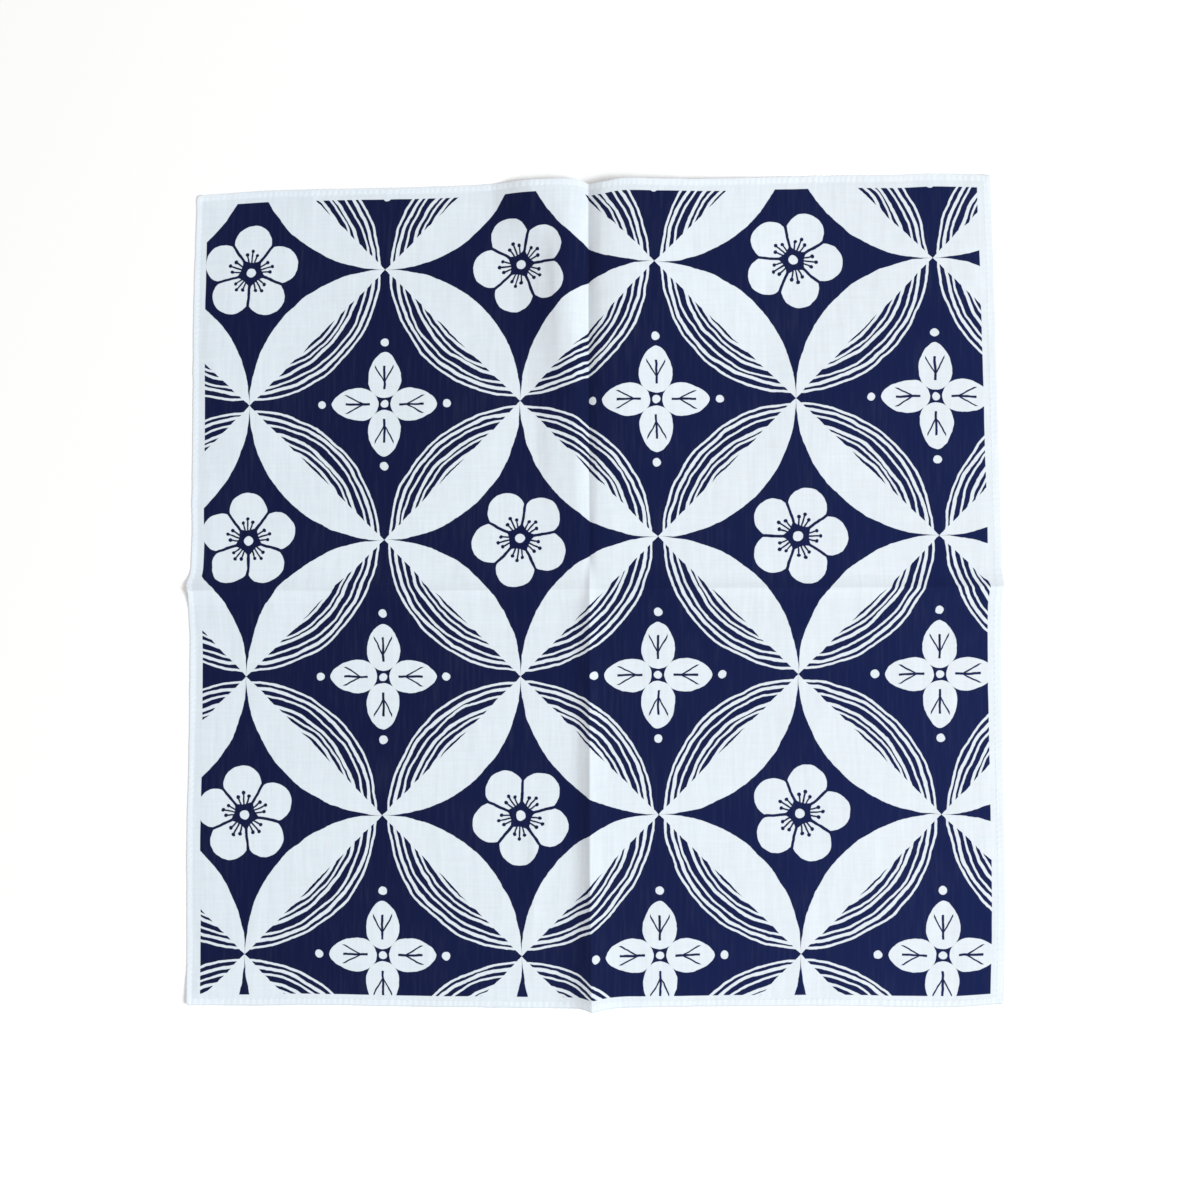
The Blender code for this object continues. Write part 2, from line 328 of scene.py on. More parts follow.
def tip(side, along, from_edge):
    _, before, after, out = next(row for row in FOLD_TIPS if row[0] == side)
    q = np.where(along < 0, -along / before, along / after)
    return out * np.clip(1 - q, 0, 1) ** 1.4 * (1 - ease(0.0, TIP_FADE, from_edge))


def lie(u, v):
    """Where a point of the flat cloth lies on the table, before the origin is moved."""
    mid_x, mid_y = crease_x(v), crease_y(u)
    left, right = read(LEFT_EDGE, v, 1), read(RIGHT_EDGE, v, 1)
    near, far = read(NEAR_EDGE, u, 1), read(FAR_EDGE, u, 1)
    x = mid_x + u / HALF_WIDTH * np.where(u < 0, mid_x - left, right - mid_x)
    y = mid_y + v / HALF_LENGTH * np.where(v < 0, mid_y - near, far - mid_y)
    x = x - tip("left", v, HALF_WIDTH + u) + tip("right", v, HALF_WIDTH - u)
    y = y - tip("near", u, HALF_LENGTH + v) + tip("far", u, HALF_LENGTH - v)
    in_x = np.clip(1 - (HALF_WIDTH - np.abs(u)) / 4.0, 0, 1) ** 2
    in_y = np.clip(1 - (HALF_LENGTH - np.abs(v)) / 4.0, 0, 1) ** 2
    drawn = CORNER_ROUND * in_x * in_y
    return x - drawn * np.sign(u), y - drawn * np.sign(v)


def folds(u, v):
    """How high the folds lift the cloth's underside off the table."""
    ridge = np.where(u < 0, section(NEAR_LEFT, -v, -u), section(NEAR_RIGHT, -v, u))
    ridge = ridge * (1 - ease(0.0, MIDDLE_FADE, v))
    sides = np.where(u < 0, section(FAR_LEFT, v, -u), section(FAR_RIGHT, v, u))
    sides = sides * (1 - ease(0.0, SHOULDER_FADE, -v))
    upright = (np.maximum(ridge, 0) ** BLEND + np.maximum(sides, 0) ** BLEND) ** (1 / BLEND)
    level = LEVEL_RIDGE
    minus, plus = (read(level, u, 2), LEVEL_HOLLOW), (read(level, u, 3), LEVEL_HOLLOW)
    level = read(level, u, 1) * crest(v, minus, plus)
    corners = np.zeros(np.broadcast(u, v).shape)
    for sign_x, sign_y, lift, reach in CORNER_LIFTS:
        away = np.hypot(HALF_WIDTH - sign_x * u, HALF_LENGTH - sign_y * v)
        corners = np.maximum(corners, lift * (1 - ease(0.0, reach, away)))
    return upright + level + corners


def rolling(u, v, cell, seed):
    """Smooth seeded unevenness between 0 and 1, with hollows and swells about a cell apart."""
    rng = np.random.default_rng(seed)
    grid = rng.random((64, 64))
    x, y = u / cell + 31.37, v / cell + 31.71
    i, j = np.floor(x).astype(int), np.floor(y).astype(int)
    fx, fy = x - i, y - j
    fx, fy = fx**3 * (fx * (6 * fx - 15) + 10), fy**3 * (fy * (6 * fy - 15) + 10)
    at = lambda a, b: grid[a % 64, b % 64]
    low = at(i, j) * (1 - fx) + at(i + 1, j) * fx
    high = at(i, j + 1) * (1 - fx) + at(i + 1, j + 1) * fx
    return low * (1 - fy) + high * fy


def soft_lines(u, v):
    total = np.zeros(np.broadcast(u, v).shape)
    for u0, v0, u1, v1, high, before, after in SOFT_LINES:
        du, dv = u1 - u0, v1 - v0
        long = math.hypot(du, dv)
        along = ((u - u0) * du + (v - v0) * dv) / long
        across = ((u - u0) * -dv + (v - v0) * du) / long * (-1 if dv > 0 else 1)
        # across grows to the right of the line as seen from above
        q = np.abs(across) / np.where(across < 0, before, after)
        shape = np.exp(-1.6 * q) * (1 - ease(1.2, 2.6, q))
        fade = ease(-0.04 * long, 0.3 * long, along) * (1 - ease(0.7 * long, 1.04 * long, along))
        total = total + high * shape * fade
    return total


def unevenness(u, v):
    """The cloth never lies dead flat: slow swells, a few faint lines, slack beside the hem."""
    slow = 0.42 * rolling(u, v, 74.0, 5) + 0.26 * rolling(u, v, 31.0, 11)
    slack = rolling(u, v * 0.35, 17.0, 23) * np.exp(-(HALF_LENGTH - np.abs(v)) / 11.0)
    slack = slack + rolling(u * 0.35, v, 17.0, 29) * np.exp(-(HALF_WIDTH - np.abs(u)) / 11.0)
    from_edge = np.minimum(HALF_WIDTH - np.abs(u), HALF_LENGTH - np.abs(v))
    settled = 0.15 + 0.85 * ease(0.0, 15.0, from_edge)  # the hem's weight holds the edge down
    return np.maximum(slow + soft_lines(u, v) + 0.4 * slack, 0.0) * settled


def middle_of_outline():
    u = np.linspace(-HALF_WIDTH, HALF_WIDTH, 2121)
    v = np.linspace(-HALF_LENGTH, HALF_LENGTH, 2165)
    xs = np.concatenate([lie(np.full_like(v, side * HALF_WIDTH), v)[0] for side in (-1, 1)])
    ys = np.concatenate([lie(u, np.full_like(u, side * HALF_LENGTH))[1] for side in (-1, 1)])
    return (xs.min() + xs.max()) / 2, (ys.min() + ys.max()) / 2


MIDDLE = middle_of_outline()


def underside(u, v):
    """The lower face of the cloth in the row's frame, in millimetres."""
    u, v = np.broadcast_arrays(np.asarray(u, float), np.asarray(v, float))
    x, y = lie(u, v)
    z = folds(u, v) + unevenness(u, v)
    return np.stack([x - MIDDLE[0], y - MIDDLE[1], z], -1)


# ---- meshes ------------------------------------------------------------------
def spread(bands):
    """Grid lines from a table of (end, step), mirrored about 0."""
    lines, at = [0.0], 0.0
    for end, step in bands:
        count = max(1, round((end - at) / step))
        lines += [at + (end - at) * k / count for k in range(1, count + 1)]
        at = end
    half = np.array(lines)
    return np.concatenate([-half[:0:-1], half])


def new_mesh(name, places, quads, materials, smooth=True):
    mesh = bpy.data.meshes.new(name)
    mesh.vertices.add(len(places))
    mesh.vertices.foreach_set("co", (np.asarray(places) * MM).astype(np.float32).ravel())
    quads = np.asarray(quads, np.int32)
    mesh.loops.add(quads.size)
    mesh.loops.foreach_set("vertex_index", quads.ravel())
    mesh.polygons.add(len(quads))
    mesh.polygons.foreach_set("loop_start", np.arange(0, quads.size, quads.shape[1], dtype=np.int32))
    mesh.polygons.foreach_set("loop_total", np.full(len(quads), quads.shape[1], np.int32))
    mesh.update(calc_edges=True)
    mesh.validate()
    if smooth:
        mesh.shade_smooth()
    for mat in materials:
        mesh.materials.append(mat)
    ob = bpy.data.objects.new(name, mesh)
    bpy.context.scene.collection.objects.link(ob)
    return ob


def lay_map(ob, name, at_vertex=None, at_corner=None):
    layer = ob.data.uv_layers.new(name=name)
    if at_corner is None:
        index = np.empty(len(ob.data.loops), np.int32)
        ob.data.loops.foreach_get("vertex_index", index)
        at_corner = at_vertex[index]
    layer.uv.foreach_set("vector", np.asarray(at_corner, np.float32).ravel())


def grid_quads(rows, columns):
    index = np.arange(rows * columns).reshape(rows, columns)
    return np.stack([index[:-1, :-1], index[:-1, 1:], index[1:, 1:], index[1:, :-1]], -1).reshape(-1, 4)


def make_sheet(face, back):
    """The cloth between its hems: one thin closed sheet, finer beside the creases."""
    edge = 2.0  # its cut edge is inside the hem
    columns = spread([(1.0, 0.5), (8.0, 1.0), (30.0, 1.57), (46.0, 2.0), (259.0, 2.9), (HALF_WIDTH - edge, 1.0)])
    rows = spread([(1.0, 0.5), (9.0, 1.0), (16.0, 1.75), (264.5, 2.9), (HALF_LENGTH - edge, 1.0)])
    u, v = np.meshgrid(columns, rows)
    low = underside(u, v)

    # Where each point sits on the flat cloth: its distance from the crease along the folds.
    def from_crease(steps, axis, half):
        run = np.concatenate([np.zeros_like(np.take(steps, [0], axis)), np.cumsum(steps, axis)], axis)
        at = int(np.argmin(np.abs(columns if axis == 1 else rows)))
        run = run - np.take(run, [at], axis)
        first, last = np.take(run, [0], axis), np.take(run, [-1], axis)
        return np.where(run < 0, run / -first, run / last) * (half - edge)

    flat_u = from_crease(np.linalg.norm(np.diff(low, axis=1), axis=-1), 1, HALF_WIDTH)
    flat_v = from_crease(np.linalg.norm(np.diff(low, axis=0), axis=-1), 0, HALF_LENGTH)

    dx, dy = np.gradient(low, axis=1), np.gradient(low, axis=0)
    up = np.cross(dx, dy)
    up /= np.linalg.norm(up, axis=-1, keepdims=True)
    high = low + up * SHEET_THICK
    tall, wide = low.shape[:2]
    n = tall * wide
    top = grid_quads(tall, wide)
    under = top[:, ::-1] + n
    ring = np.concatenate(
        [
            np.arange(wide),
            np.arange(1, tall) * wide + wide - 1,
            (tall - 1) * wide + np.arange(wide - 2, -1, -1),
            np.arange(tall - 2, 0, -1) * wide,
        ]
    )
    after = np.roll(ring, -1)
    rim = np.stack([ring + n, after + n, after, ring], -1)
    places = np.concatenate([high.reshape(-1, 3), low.reshape(-1, 3)])
    ob = new_mesh("bandana_sheet", places, np.concatenate([top, under, rim]), (face, back))
    slots = np.concatenate([np.zeros(len(top)), np.ones(len(under)), np.zeros(len(rim))]).astype(np.int32)
    ob.data.polygons.foreach_set("material_index", slots)

    flat = np.stack([flat_u, flat_v], -1).reshape(-1, 2)
    lay_map(ob, "FlatCloth", np.concatenate([flat, flat]) * MM)
    share = flat / (2 * HALF_WIDTH, 2 * HALF_LENGTH) + 0.5
    upper = share * (0.994, 0.860) + (0.003, 0.137)
    lower = share * (0.994, 0.120) + (0.003, 0.004)
    lay_map(ob, "OFBake", np.concatenate([upper, lower]))
    return ob


# One side of the cloth each: how a place along it and a distance in from the edge make u and v.
SIDES = (
    # name, half length of the side, half width the other way, sign, runs across, hem width share, pucker, rise
    ("near", HALF_WIDTH, HALF_LENGTH, -1, True, 0.98, 1.0, 0.9),
    ("far", HALF_WIDTH, HALF_LENGTH, 1, True, 1.0, 0.95, 1.0),
    ("left", HALF_LENGTH, HALF_WIDTH, -1, False, 0.80, 0.75, 0.9),
    ("right", HALF_LENGTH, HALF_WIDTH, 1, False, 1.10, 0.8, 0.55),
)
HEM_PROFILE = (
    # in from edge, above the underside
    (5.3, 0.27),
    (4.7, 0.33),
    (4.1, 0.36),
    (3.5, 0.41),
    (2.8, 0.47),
    (2.0, 0.51),
    (0.9, 0.52),
    (0.2, 0.50),
    (0.05, 0.46),
    (0.0, 0.39),
    (0.2, 0.08),
    (4.4, 0.0),
)
STITCH_LINE = 2  # the profile's row under the thread


def on_side(side, along, inward):
    name, long, half, sign, across = side[:5]
    other = sign * (half - inward)
    return (along, other) if across else (other, along)


def puckers(side, along):
    """The hem draws up a little between stitches, unevenly."""
    seed = 3 + [row[0] for row in SIDES].index(side[0])
    drift = 1.6 * rolling(along, along * 0, 23.0, seed)
    strong = 0.45 + 0.75 * rolling(along, along * 0 + 900, 14.0, seed + 40)
    return side[6] * strong * np.cos(2 * math.pi * (along / STITCH_PITCH + drift))


def hem_places(side, along, inward, above):
    """Points of the hem: along the side, in from its edge, above the underside."""
    pucker = puckers(side, along)
    wide = np.clip(inward / 1.2, 0, 1) * (1 - ease(3.6, 5.0, inward / side[5]))
    bulge = 0.075 * pucker * wide * (above > 0.25)
    waver = 0.30 * (rolling(along, along * 0 + 300, 9.0, 71) - 0.5) + 0.09 * pucker
    inward = inward + waver * (1 - ease(0.5, 4.6, inward / side[5]))
    u, v = on_side(side, along, np.maximum(inward, 0.0))
    place = underside(u, v)
    out = np.minimum(inward, 0.0)  # the edge wavers out past the nominal line
    x_or_y, sign = (1, side[3]) if side[4] else (0, side[3])
    place[..., x_or_y] -= out * sign
    # At a corner the second hem lies over the first.
    over = 0.0 if side[4] else 0.20
    from_corner = side[1] - np.abs(along)
    lift = over * (1 - ease(3.4, 6.8, from_corner)) * (above > 0.02) * (1 - ease(2.4, 4.6, inward / side[5]))
    above = np.where(above > SHEET_THICK, SHEET_THICK + (above - SHEET_THICK) * side[7], above)
    place[..., 2] += above * HEM_THICK + bulge + lift
    return place


def make_hem(face):
    """The turned hem: four narrow puckered strips that meet square at the corners."""
    places, quads, flat, baked, start = [], [], [], [], 0
    profile = np.array(HEM_PROFILE)
    for number, side in enumerate(SIDES):
        ends = 0.25 if side[4] else 0.0
        count = round(2 * (side[1] - ends) / 0.62)
        along = np.linspace(-side[1] + ends, side[1] - ends, count + 1)
        grid_along, inward = np.meshgrid(along, profile[:, 0] * side[5], indexing="ij")
        above = np.broadcast_to(profile[:, 1], grid_along.shape)
        place = hem_places(side, grid_along, inward.copy(), above)
        steps, points = place.shape[:2]
        index = start + np.arange(steps * points).reshape(steps, points)
        nxt = np.roll(index, -1, axis=1)
        body = np.stack([index[:-1], index[1:], nxt[1:], nxt[:-1]], -1).reshape(-1, 4)
        flip = (side[3] < 0) == side[4]
        places.append(place.reshape(-1, 3))
        quads.append(body[:, ::-1] if flip else body)
        for row, turn in ((index[0], flip), (index[-1], not flip)):
            # a strip of quads closes the end, from the profile's first points to its last
            a, b = row[: points // 2], row[: points // 2 - 1 : -1]
            cap = np.stack([a[:-1], a[1:], b[1:], b[:-1]], -1)
            quads.append(cap[:, ::-1] if turn else cap)
        u, v = on_side(side, grid_along, inward)
        flat.append(np.stack([u, v], -1).reshape(-1, 2))
        round_it = np.arange(points) / points
        run = (grid_along / (2 * side[1]) + 0.5) * 0.99 + 0.005
        band = (number + 0.03 + 0.9 * np.broadcast_to(round_it, run.shape)) / 4
        baked.append(np.stack([run, band], -1).reshape(-1, 2))
        start += steps * points
    ob = new_mesh("turned_hem", np.concatenate(places), np.concatenate(quads), (face,))
    lay_map(ob, "FlatCloth", np.concatenate(flat) * MM)
    lay_map(ob, "OFBake", np.concatenate(baked))
    return ob


def make_stitches(thread):
    """A row of lockstitches sunk into the inner side of the hem."""
    sides, rings = 6, 7
    turn = np.linspace(0, 2 * math.pi, sides, endpoint=False)
    q = np.linspace(-1, 1, rings)
    girth = THREAD_THICK / 2 * np.array([0.45, 0.85, 1.0, 1.04, 1.0, 0.85, 0.45])
    arch = 0.20 * (1 - q**2) - 0.14
    inward, above = HEM_PROFILE[STITCH_LINE]
    places, flat, cells = [], [], []
    for side in SIDES:
        count = int(2 * (side[1] - 6.0) / STITCH_PITCH)
        middles = (np.arange(count) - (count - 1) / 2) * STITCH_PITCH
        rng = np.random.default_rng(90 + len(places))
        middles = middles + rng.uniform(-0.22, 0.22, count)
        slant = rng.uniform(-0.16, 0.16, count)
        long = STITCH_LONG * rng.uniform(0.9, 1.06, count)
        along = middles[:, None] + q[None, :] * long[:, None] / 2
        inner = inward * side[5] + slant[:, None] * q[None, :]
        spine = hem_places(side, along, inner, np.full_like(along, above))
        spine[..., 2] += arch[None, :]
        heading = np.gradient(spine, axis=1)
        heading /= np.linalg.norm(heading, axis=-1, keepdims=True)
        out = np.cross(heading, (0.0, 0.0, 1.0))
        out /= np.linalg.norm(out, axis=-1, keepdims=True)
        lift = np.cross(out, heading)
        ring = np.cos(turn)[:, None] * out[:, :, None, :] + np.sin(turn)[:, None] * lift[:, :, None, :]
        places.append((spine[:, :, None, :] + ring * girth[None, :, None, None]).reshape(-1, 3))
    places = np.concatenate(places)
    each = sides * rings
    stitches = len(places) // each
    base = np.arange(each).reshape(rings, sides)
    nxt = np.roll(base, -1, axis=1)
    body = np.stack([base[:-1], nxt[:-1], nxt[1:], base[1:]], -1).reshape(-1, 4)
    caps = np.array(
        [
            [base[0, 3], base[0, 2], base[0, 1], base[0, 0]],
            [base[0, 0], base[0, 5], base[0, 4], base[0, 3]],
            [base[-1, 0], base[-1, 1], base[-1, 2], base[-1, 3]],
            [base[-1, 3], base[-1, 4], base[-1, 5], base[-1, 0]],
        ]
    )
    one = np.concatenate([body, caps])
    quads = (one[None] + (np.arange(stitches) * each)[:, None, None]).reshape(-1, 4)
    ob = new_mesh("hem_stitches", places, quads, (thread,))
    # Each stitch has its own small cell of the map, unrolled.
    across = math.ceil(math.sqrt(stitches))
    local = np.stack(np.meshgrid(np.linspace(0.1, 0.9, rings), np.linspace(0.1, 0.9, sides), indexing="ij"), -1)
    cell = np.stack(np.divmod(np.arange(stitches), across)[::-1], -1)
    baked = (cell[:, None, None, :] + local[None]) / across
    along = np.stack(np.meshgrid(q, np.arange(sides) / sides, indexing="ij"), -1)
    along = np.broadcast_to(along[None], baked.shape).copy()
    along[..., 0] = along[..., 0] * STITCH_LONG / 2 + cell[:, None, None, 0] * 7.3
    lay_map(ob, "ThreadRun", along.reshape(-1, 2) * MM)
    lay_map(ob, "OFBake", baked.reshape(-1, 2))
    return ob


# ---- nodes as plain arithmetic -----------------------------------------------
class Field:
    """A value that varies over the cloth. Arithmetic on it adds nodes."""

    def __init__(self, tree, socket):
        self.tree, self.socket = tree, socket

    def op(self, kind, *others, clamp=False):
        node = self.tree.nodes.new("ShaderNodeMath")
        node.operation, node.use_clamp = kind, clamp
        for slot, value in zip(node.inputs, (self, *others)):
            if isinstance(value, Field):
                self.tree.links.new(value.socket, slot)
            else:
                slot.default_value = float(value)
        return Field(self.tree, node.outputs[0])

    def __add__(self, other):
        return self.op("ADD", other)

    __radd__ = __add__

    def __sub__(self, other):
        return self.op("SUBTRACT", other)

    def __rsub__(self, other):
        return self.op("MULTIPLY_ADD", -1.0, other)

    def __mul__(self, other):
        return self.op("MULTIPLY", other)

    __rmul__ = __mul__

    def __truediv__(self, other):
        return self.op("DIVIDE", other)

    def __neg__(self):
        return self.op("MULTIPLY", -1.0)

    def abs(self):
        return self.op("ABSOLUTE")

    def round(self):
        return self.op("ROUND")

    def max(self, other):
        return self.op("MAXIMUM", other)

    def min(self, other):
        return self.op("MINIMUM", other)

    def sqrt(self):
        return self.op("SQRT")

    def sin(self):
        return self.op("SINE")

    def cos(self):
        return self.op("COSINE")

    def clamp(self):
        return self.op("ADD", 0.0, clamp=True)

    def ramp(self, low, high):
        """0 below low, 1 above high, straight between."""
        return (self - low).op("MULTIPLY", 1.0 / (high - low), clamp=True)

    def soft(self, low, high):
        """The same, eased."""
        node = self.tree.nodes.new("ShaderNodeMapRange")
        node.interpolation_type = "SMOOTHSTEP"
        self.tree.links.new(self.socket, node.inputs["Value"])
        node.inputs["From Min"].default_value = low
        node.inputs["From Max"].default_value = high
        return Field(self.tree, node.outputs["Result"])


def hypot(x, y):
    return (x * x + y * y).sqrt()


def noise(tree, x, y, detail=2.0, rough=0.5):
    """Smooth noise at a place given in its own cells, from 0 to 1."""
    join = tree.nodes.new("ShaderNodeCombineXYZ")
    for slot, value in zip(join.inputs, (x, y)):
        tree.links.new(value.socket, slot)
    node = tree.nodes.new("ShaderNodeTexNoise")
    node.inputs["Scale"].default_value = 1.0
    node.inputs["Detail"].default_value = detail
    node.inputs["Roughness"].default_value = rough
    tree.links.new(join.outputs[0], node.inputs["Vector"])
    return Field(tree, node.outputs[0])


def mix_colour(tree, share, a, b):
    node = tree.nodes.new("ShaderNodeMix")
    node.data_type = "RGBA"
    tree.links.new(share.socket, node.inputs["Factor"])
    for slot, value in (("A", a), ("B", b)):
        socket = [s for s in node.inputs if s.name == slot and s.type == "RGBA"][0]
        if isinstance(value, tuple):
            socket.default_value = value
        else:
            tree.links.new(value, socket)
    return [s for s in node.outputs if s.type == "RGBA"][0]


def map_place(tree, name):
    node = tree.nodes.new("ShaderNodeUVMap")
    node.uv_map = name
    split = tree.nodes.new("ShaderNodeSeparateXYZ")
    tree.links.new(node.outputs[0], split.inputs[0])
    return Field(tree, split.outputs[0]) * 1000.0, Field(tree, split.outputs[1]) * 1000.0


def line(distance, width, soft=0.3):
    """1 on a line of this width, where distance is 0 along it."""
    return 1.0 - distance.abs().ramp(width / 2 - soft / 2, width / 2 + soft / 2)


def inside(distance, soft=0.3):
    """1 where distance is above 0."""
    return distance.ramp(-soft / 2, soft / 2)


def print_mask(tree, u, v):
    """1 where the cloth is inked. Interlocking rings make leaves: half of each leaf is
    white, half is navy with white lines along its edge. White plum blossoms and white
    four-petal flowers fill the navy spaces between, turn about."""
    # The hand-cut edges waver a little.
    shake_u = (noise(tree, u / 13.0, v / 13.0 + 4.0) - 0.5) * 2.2 + (noise(tree, u / 3.1 + 9.0, v / 3.1) - 0.5) * 0.55
    shake_v = (noise(tree, u / 13.0 + 40.0, v / 13.0) - 0.5) * 2.2 + (noise(tree, u / 3.1, v / 3.1 + 70.0) - 0.5) * 0.55
    pu, pv = u + shake_u - LATTICE_AT[0], v + shake_v - LATTICE_AT[1]
    turned = math.sqrt(0.5)
    p, q = (pu + pv) * turned, (pv - pu) * turned
    i, j = (p / LATTICE).round(), (q / LATTICE).round()
    x, y = p - i * LATTICE, q - j * LATTICE
    odd = (i + j).op("MULTIPLY", 0.5).op("FRACT").ramp(0.2, 0.3)
    ring = LATTICE * math.sqrt(0.5)
    ax, ay = x.abs(), y.abs()
    into_x = ring - hypot(LATTICE - ax, y)  # how far inside the leaf on either side
    into_y = ring - hypot(x, LATTICE - ay)
    into = into_x.max(into_y)
    leaf = inside(into)

    # Half leaves of odd cells: white lines along the edge, drifting in and out a little.
    lines = None
    for number, (at, width) in enumerate(LEAF_LINES):
        drift = (noise(tree, u / 31.0 + 7.0 * number, v / 31.0, 1.0) - 0.5) * 3.4
        one = line(into + drift - at, width)
        lines = one if lines is None else lines.max(one)

    # Even cells: a white plum blossom on navy, each turned its own way.
    away = hypot(x, y)
    angle = y.op("ARCTAN2", x) + i * 1.7 + j * 0.9
    fifth = 2 * math.pi / 5
    folded = ((angle / fifth) - (angle / fifth).round()) * fifth
    across, out = away * folded.sin(), away * folded.cos()
    petal = PETAL_ROUND - hypot(out - PETAL_RING, across)
    between = (away * (folded.abs() - fifth / 2).sin()).abs()
    blossom = inside(petal) * inside(between - 0.95) * inside(away - 5.4)
    stamens = None
    for tilt, reach in ((0.0, 14.8), (0.27, 12.6), (-0.27, 12.6)):
        side = (away * (folded - tilt).sin()).abs()
        stem = (1.0 - side.ramp(0.4, 0.75)) * inside(reach - away)
        dot = inside(1.25 - hypot(away * (folded - tilt).cos() - reach, side))
        both = stem.max(dot)
        stamens = both if stamens is None else stamens.max(both)
    blossom = (blossom * (1.0 - stamens)).max(inside(3.1 - away))

    # Odd cells: a white four-petal flower on navy, with a navy vein in each petal.
    quarter = math.pi / 2
    angle = y.op("ARCTAN2", x) + math.pi / 4
    folded = ((angle / quarter) - (angle / quarter).round()) * quarter
    across, out = (away * folded.sin()).abs(), away * folded.cos()
    tip_at, root_at, fat = 35.0, 4.0, 11.2
    along = (out - root_at) / (tip_at - root_at)
    swell = (along * (1.0 - along)).max(0.0) * 4.0
    shape = swell.sqrt() * fat * (1.18 - along * 0.36)
    flower = inside(shape - across - 0.5)
    vein = (1.0 - across.ramp(0.6, 0.95)) * inside(26.0 - out) * inside(out - 10.0)
    barb = (1.0 - (across - (out - 14.5) * 0.55).abs().ramp(0.4, 0.75)) * inside(across) * inside(6.2 - across)
    bud = inside(2.7 - hypot(out - 41.5, across))
    flower = (flower * (1.0 - vein.max(barb))).max(bud).max(inside(2.6 - away))

    even_white = leaf.max(blossom)
    odd_white = (leaf * lines).max(flower)
    white = even_white + (odd_white - even_white) * odd
    # The field stops at a straight cut inside the white margin.
    edge_u = (noise(tree, u / 37.0, v / 37.0) - 0.5) * 0.9
    reach = {side: at + along * lean for (side, (at, lean)), along in zip(FIELD.items(), (v, v, u, u))}
    edge = (u + edge_u - reach["left"]).min(reach["right"] - (u + edge_u))
    edge = edge.min((v + edge_u - reach["near"]).min(reach["far"] - (v + edge_u)))
    return (1.0 - white).clamp() * inside(edge)


